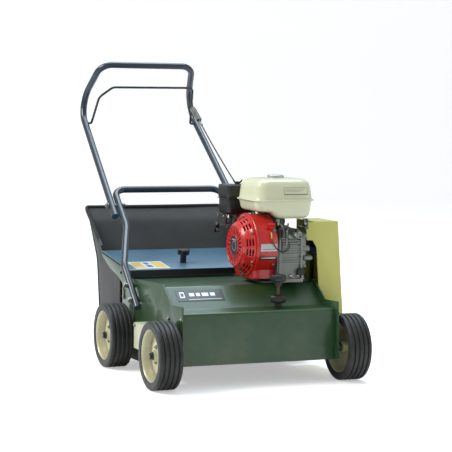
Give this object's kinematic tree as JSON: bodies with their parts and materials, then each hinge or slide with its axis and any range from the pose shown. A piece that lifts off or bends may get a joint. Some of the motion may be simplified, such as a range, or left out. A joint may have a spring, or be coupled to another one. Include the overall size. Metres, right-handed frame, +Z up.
{
  "type": "petrol lawn dethatcher",
  "caption": "Walk-behind petrol lawn dethatcher with a sheet-steel deck, bladed rotor, ribbed wheels, folding tubular handle and rear fabric bag.",
  "frame": {"origin": "on the ground under the middle of the machine's bounding box", "axes": "+X from the machine's left to its right as seen from the front, +Y towards the handle at the rear, +Z up"},
  "size_m": [0.668, 1.2006, 0.9606],
  "materials": {
    "green_paint": "satin",
    "blue_paint": "satin",
    "steel_blue_paint": "satin",
    "cream_paint": "satin",
    "rim_paint": "satin",
    "tank_paint": "gloss",
    "red_paint": "gloss",
    "black_plastic": "matte",
    "tyre_rubber": "matte",
    "belt_rubber": "matte",
    "zinc_steel": "satin",
    "bare_steel": "satin",
    "cast_aluminium": "cast",
    "grey_iron": "matte",
    "bag_fabric": "woven"
  },
  "bodies": {
    "deck": {"side_plate_left": "green_paint", "side_plate_right": "green_paint", "hood": "green_paint", "engine_plate": "green_paint", "deck_tie_bars": "green_paint", "rear_axle": "bare_steel", "rotor_bearings": "grey_iron", "bearing_cover": "cream_paint", "belt_guard": "cream_paint", "bag_hooks": "zinc_steel", "lower_handle": "blue_paint", "handle_bolts": "zinc_steel", "crankcase": "cast_aluminium", "side_cover": "cast_aluminium", "cylinder_head": "cast_aluminium", "fan_cover": "red_paint", "recoil_cover": "red_paint", "fuel_tank": "tank_paint", "tank_stays": "zinc_steel", "air_cleaner_base": "black_plastic", "air_cleaner_cover": "black_plastic", "carburettor": "cast_aluminium", "muffler": "bare_steel", "drive_belt": "belt_rubber", "clutch_cable": "black_plastic"},
    "front_gear": {"front_axle_carrier": "green_paint", "front_axle": "bare_steel"},
    "depth_screw": {"depth_screw": "bare_steel"},
    "depth_nut": {"depth_nut_knob": "black_plastic"},
    "lock_knob": {"lock_knob": "black_plastic"},
    "rotor": {"rotor_shaft": "bare_steel", "rotor_blades": "bare_steel", "rotor_pulley": "grey_iron"},
    "crank": {"crankshaft": "bare_steel", "engine_pulley": "grey_iron", "flywheel_fan": "cast_aluminium"},
    "idler_arm": {"idler_arm": "bare_steel"},
    "idler_wheel": {"idler_pulley": "grey_iron"},
    "grip": {"upper_handle": "blue_paint", "handle_pivots": "zinc_steel"},
    "bail": {"bail_lever": "bare_steel"},
    "bail_spring": {"bail_spring": "zinc_steel"},
    "deflector": {"deflector": "steel_blue_paint"},
    "deflector_knob": {"deflector_knob": "black_plastic"},
    "bag": {"collection_bag": "bag_fabric", "bag_frame": "bare_steel"},
    "fuel_cap": {"fuel_cap": "black_plastic"},
    "throttle": {"throttle_lever": "zinc_steel"},
    "choke": {"choke_lever": "zinc_steel"},
    "engine_switch": {"engine_switch": "red_paint"},
    "oil_cap": {"oil_filler_cap": "black_plastic"},
    "recoil_grip": {"recoil_grip": "black_plastic"},
    "wheel_front_left": {"tyre_front_left": "tyre_rubber", "rim_front_left": "rim_paint"},
    "wheel_front_right": {"tyre_front_right": "tyre_rubber", "rim_front_right": "rim_paint"},
    "wheel_rear_left": {"tyre_rear_left": "tyre_rubber", "rim_rear_left": "rim_paint"},
    "wheel_rear_right": {"tyre_rear_right": "tyre_rubber", "rim_rear_right": "rim_paint"}
  },
  "joints": [
    {"name": "front_left_spin", "type": "hinge", "parent": "front_gear", "child": "wheel_front_left", "pos_m": [-0.298, -0.50035, 0.1], "axis": [1, 0, 0], "continuous": true},
    {"name": "front_right_spin", "type": "hinge", "parent": "front_gear", "child": "wheel_front_right", "pos_m": [0.298, -0.50035, 0.1], "axis": [1, 0, 0], "continuous": true},
    {"name": "rear_left_spin", "type": "hinge", "parent": "deck", "child": "wheel_rear_left", "pos_m": [-0.298, -0.06185, 0.1], "axis": [1, 0, 0], "continuous": true},
    {"name": "rear_right_spin", "type": "hinge", "parent": "deck", "child": "wheel_rear_right", "pos_m": [0.298, -0.06185, 0.1], "axis": [1, 0, 0], "continuous": true},
    {"name": "carrier_swing", "type": "hinge", "parent": "deck", "child": "front_gear", "pos_m": [0, -0.37835, 0.096], "axis": [-1, 0, 0], "range_deg": [-10, 5]},
    {"name": "screw_rise", "type": "slide", "parent": "deck", "child": "depth_screw", "axis": [0, 0, 1], "range_m": [-0.0155, 0.008]},
    {"name": "depth_turn", "type": "hinge", "parent": "deck", "child": "depth_nut", "pos_m": [0.084, -0.46435, 0.23], "axis": [0, 0, 1], "range_deg": [-1805, 905]},
    {"name": "lock_turn", "type": "hinge", "parent": "depth_screw", "child": "lock_knob", "pos_m": [0.084, -0.46435, 0.3], "axis": [0, 0, 1], "range_deg": [0, 360]},
    {"name": "rotor_spin", "type": "hinge", "parent": "deck", "child": "rotor", "pos_m": [0, -0.30335, 0.127], "axis": [1, 0, 0], "continuous": true},
    {"name": "crank_spin", "type": "hinge", "parent": "deck", "child": "crank", "pos_m": [0.15, -0.29735, 0.393], "axis": [1, 0, 0], "continuous": true},
    {"name": "idler_swing", "type": "hinge", "parent": "deck", "child": "idler_arm", "pos_m": [0.258, -0.23435, 0.188], "axis": [1, 0, 0], "range_deg": [0, 5.6]},
    {"name": "idler_spin", "type": "hinge", "parent": "idler_arm", "child": "idler_wheel", "pos_m": [0.288, -0.23375, 0.258], "axis": [1, 0, 0], "continuous": true},
    {"name": "handle_fold", "type": "hinge", "parent": "deck", "child": "grip", "pos_m": [0, 0.20465, 0.48633], "axis": [1, 0, 0], "range_deg": [0, 100], "deforming": ["clutch_cable"]},
    {"name": "bail_pull", "type": "hinge", "parent": "grip", "child": "bail", "pos_m": [0, 0.54965, 0.74887], "axis": [-1, 0, 0], "range_deg": [0, 14], "stiffness_Nm_per_rad": 3, "springref_deg": -11.46, "deforming": ["clutch_cable"]},
    {"name": "spring_swing", "type": "hinge", "parent": "bail", "child": "bail_spring", "pos_m": [0.17733, 0.52465, 0.81193], "axis": [1, 0, 0], "range_deg": [0, 14]},
    {"name": "deflector_lift", "type": "hinge", "parent": "deck", "child": "deflector", "pos_m": [0, -0.06635, 0.28], "axis": [1, 0, 0], "range_deg": [0, 8]},
    {"name": "deflector_knob_turn", "type": "hinge", "parent": "deflector", "child": "deflector_knob", "pos_m": [-0.038, 0.01765, 0.313], "axis": [0, -0.1194, 0.9928], "range_deg": [0, 360]},
    {"name": "bag_slide", "type": "slide", "parent": "deck", "child": "bag", "axis": [0, 1, 0], "range_m": [0, 0.35]},
    {"name": "fuel_cap_turn", "type": "hinge", "parent": "deck", "child": "fuel_cap", "pos_m": [0.144, -0.29585, 0.6], "axis": [0, 0, 1], "range_deg": [0, 90]},
    {"name": "throttle_turn", "type": "hinge", "parent": "deck", "child": "throttle", "pos_m": [0.04, -0.14835, 0.45], "axis": [1, 0, 0], "range_deg": [0, 30]},
    {"name": "choke_turn", "type": "hinge", "parent": "deck", "child": "choke", "pos_m": [0.04, -0.17035, 0.44], "axis": [1, 0, 0], "range_deg": [0, 30]},
    {"name": "switch_turn", "type": "hinge", "parent": "deck", "child": "engine_switch", "pos_m": [0.096, -0.37301, 0.45414], "axis": [0, -0.7828, 0.6222], "range_deg": [0, 40]},
    {"name": "oil_cap_turn", "type": "hinge", "parent": "deck", "child": "oil_cap", "pos_m": [0.188, -0.39035, 0.318], "axis": [0, -1, 0], "range_deg": [0, 360]},
    {"name": "recoil_pull", "type": "slide", "parent": "deck", "child": "recoil_grip", "axis": [0, 0.8, 0.6], "range_m": [0, 0.35], "stiffness_N_per_m": 15, "springref_m": -0.1}
  ],
  "couplings": [
    {"joint": "screw_rise", "follows": "carrier_swing", "m_per_rad": 0.086},
    {"joint": "depth_turn", "follows": "carrier_swing", "ratio": 180.12},
    {"joint": "crank_spin", "follows": "rotor_spin", "ratio": 1.3529},
    {"joint": "idler_swing", "follows": "bail_pull", "ratio": 0.4},
    {"joint": "spring_swing", "follows": "bail_pull", "ratio": 1}
  ]
}
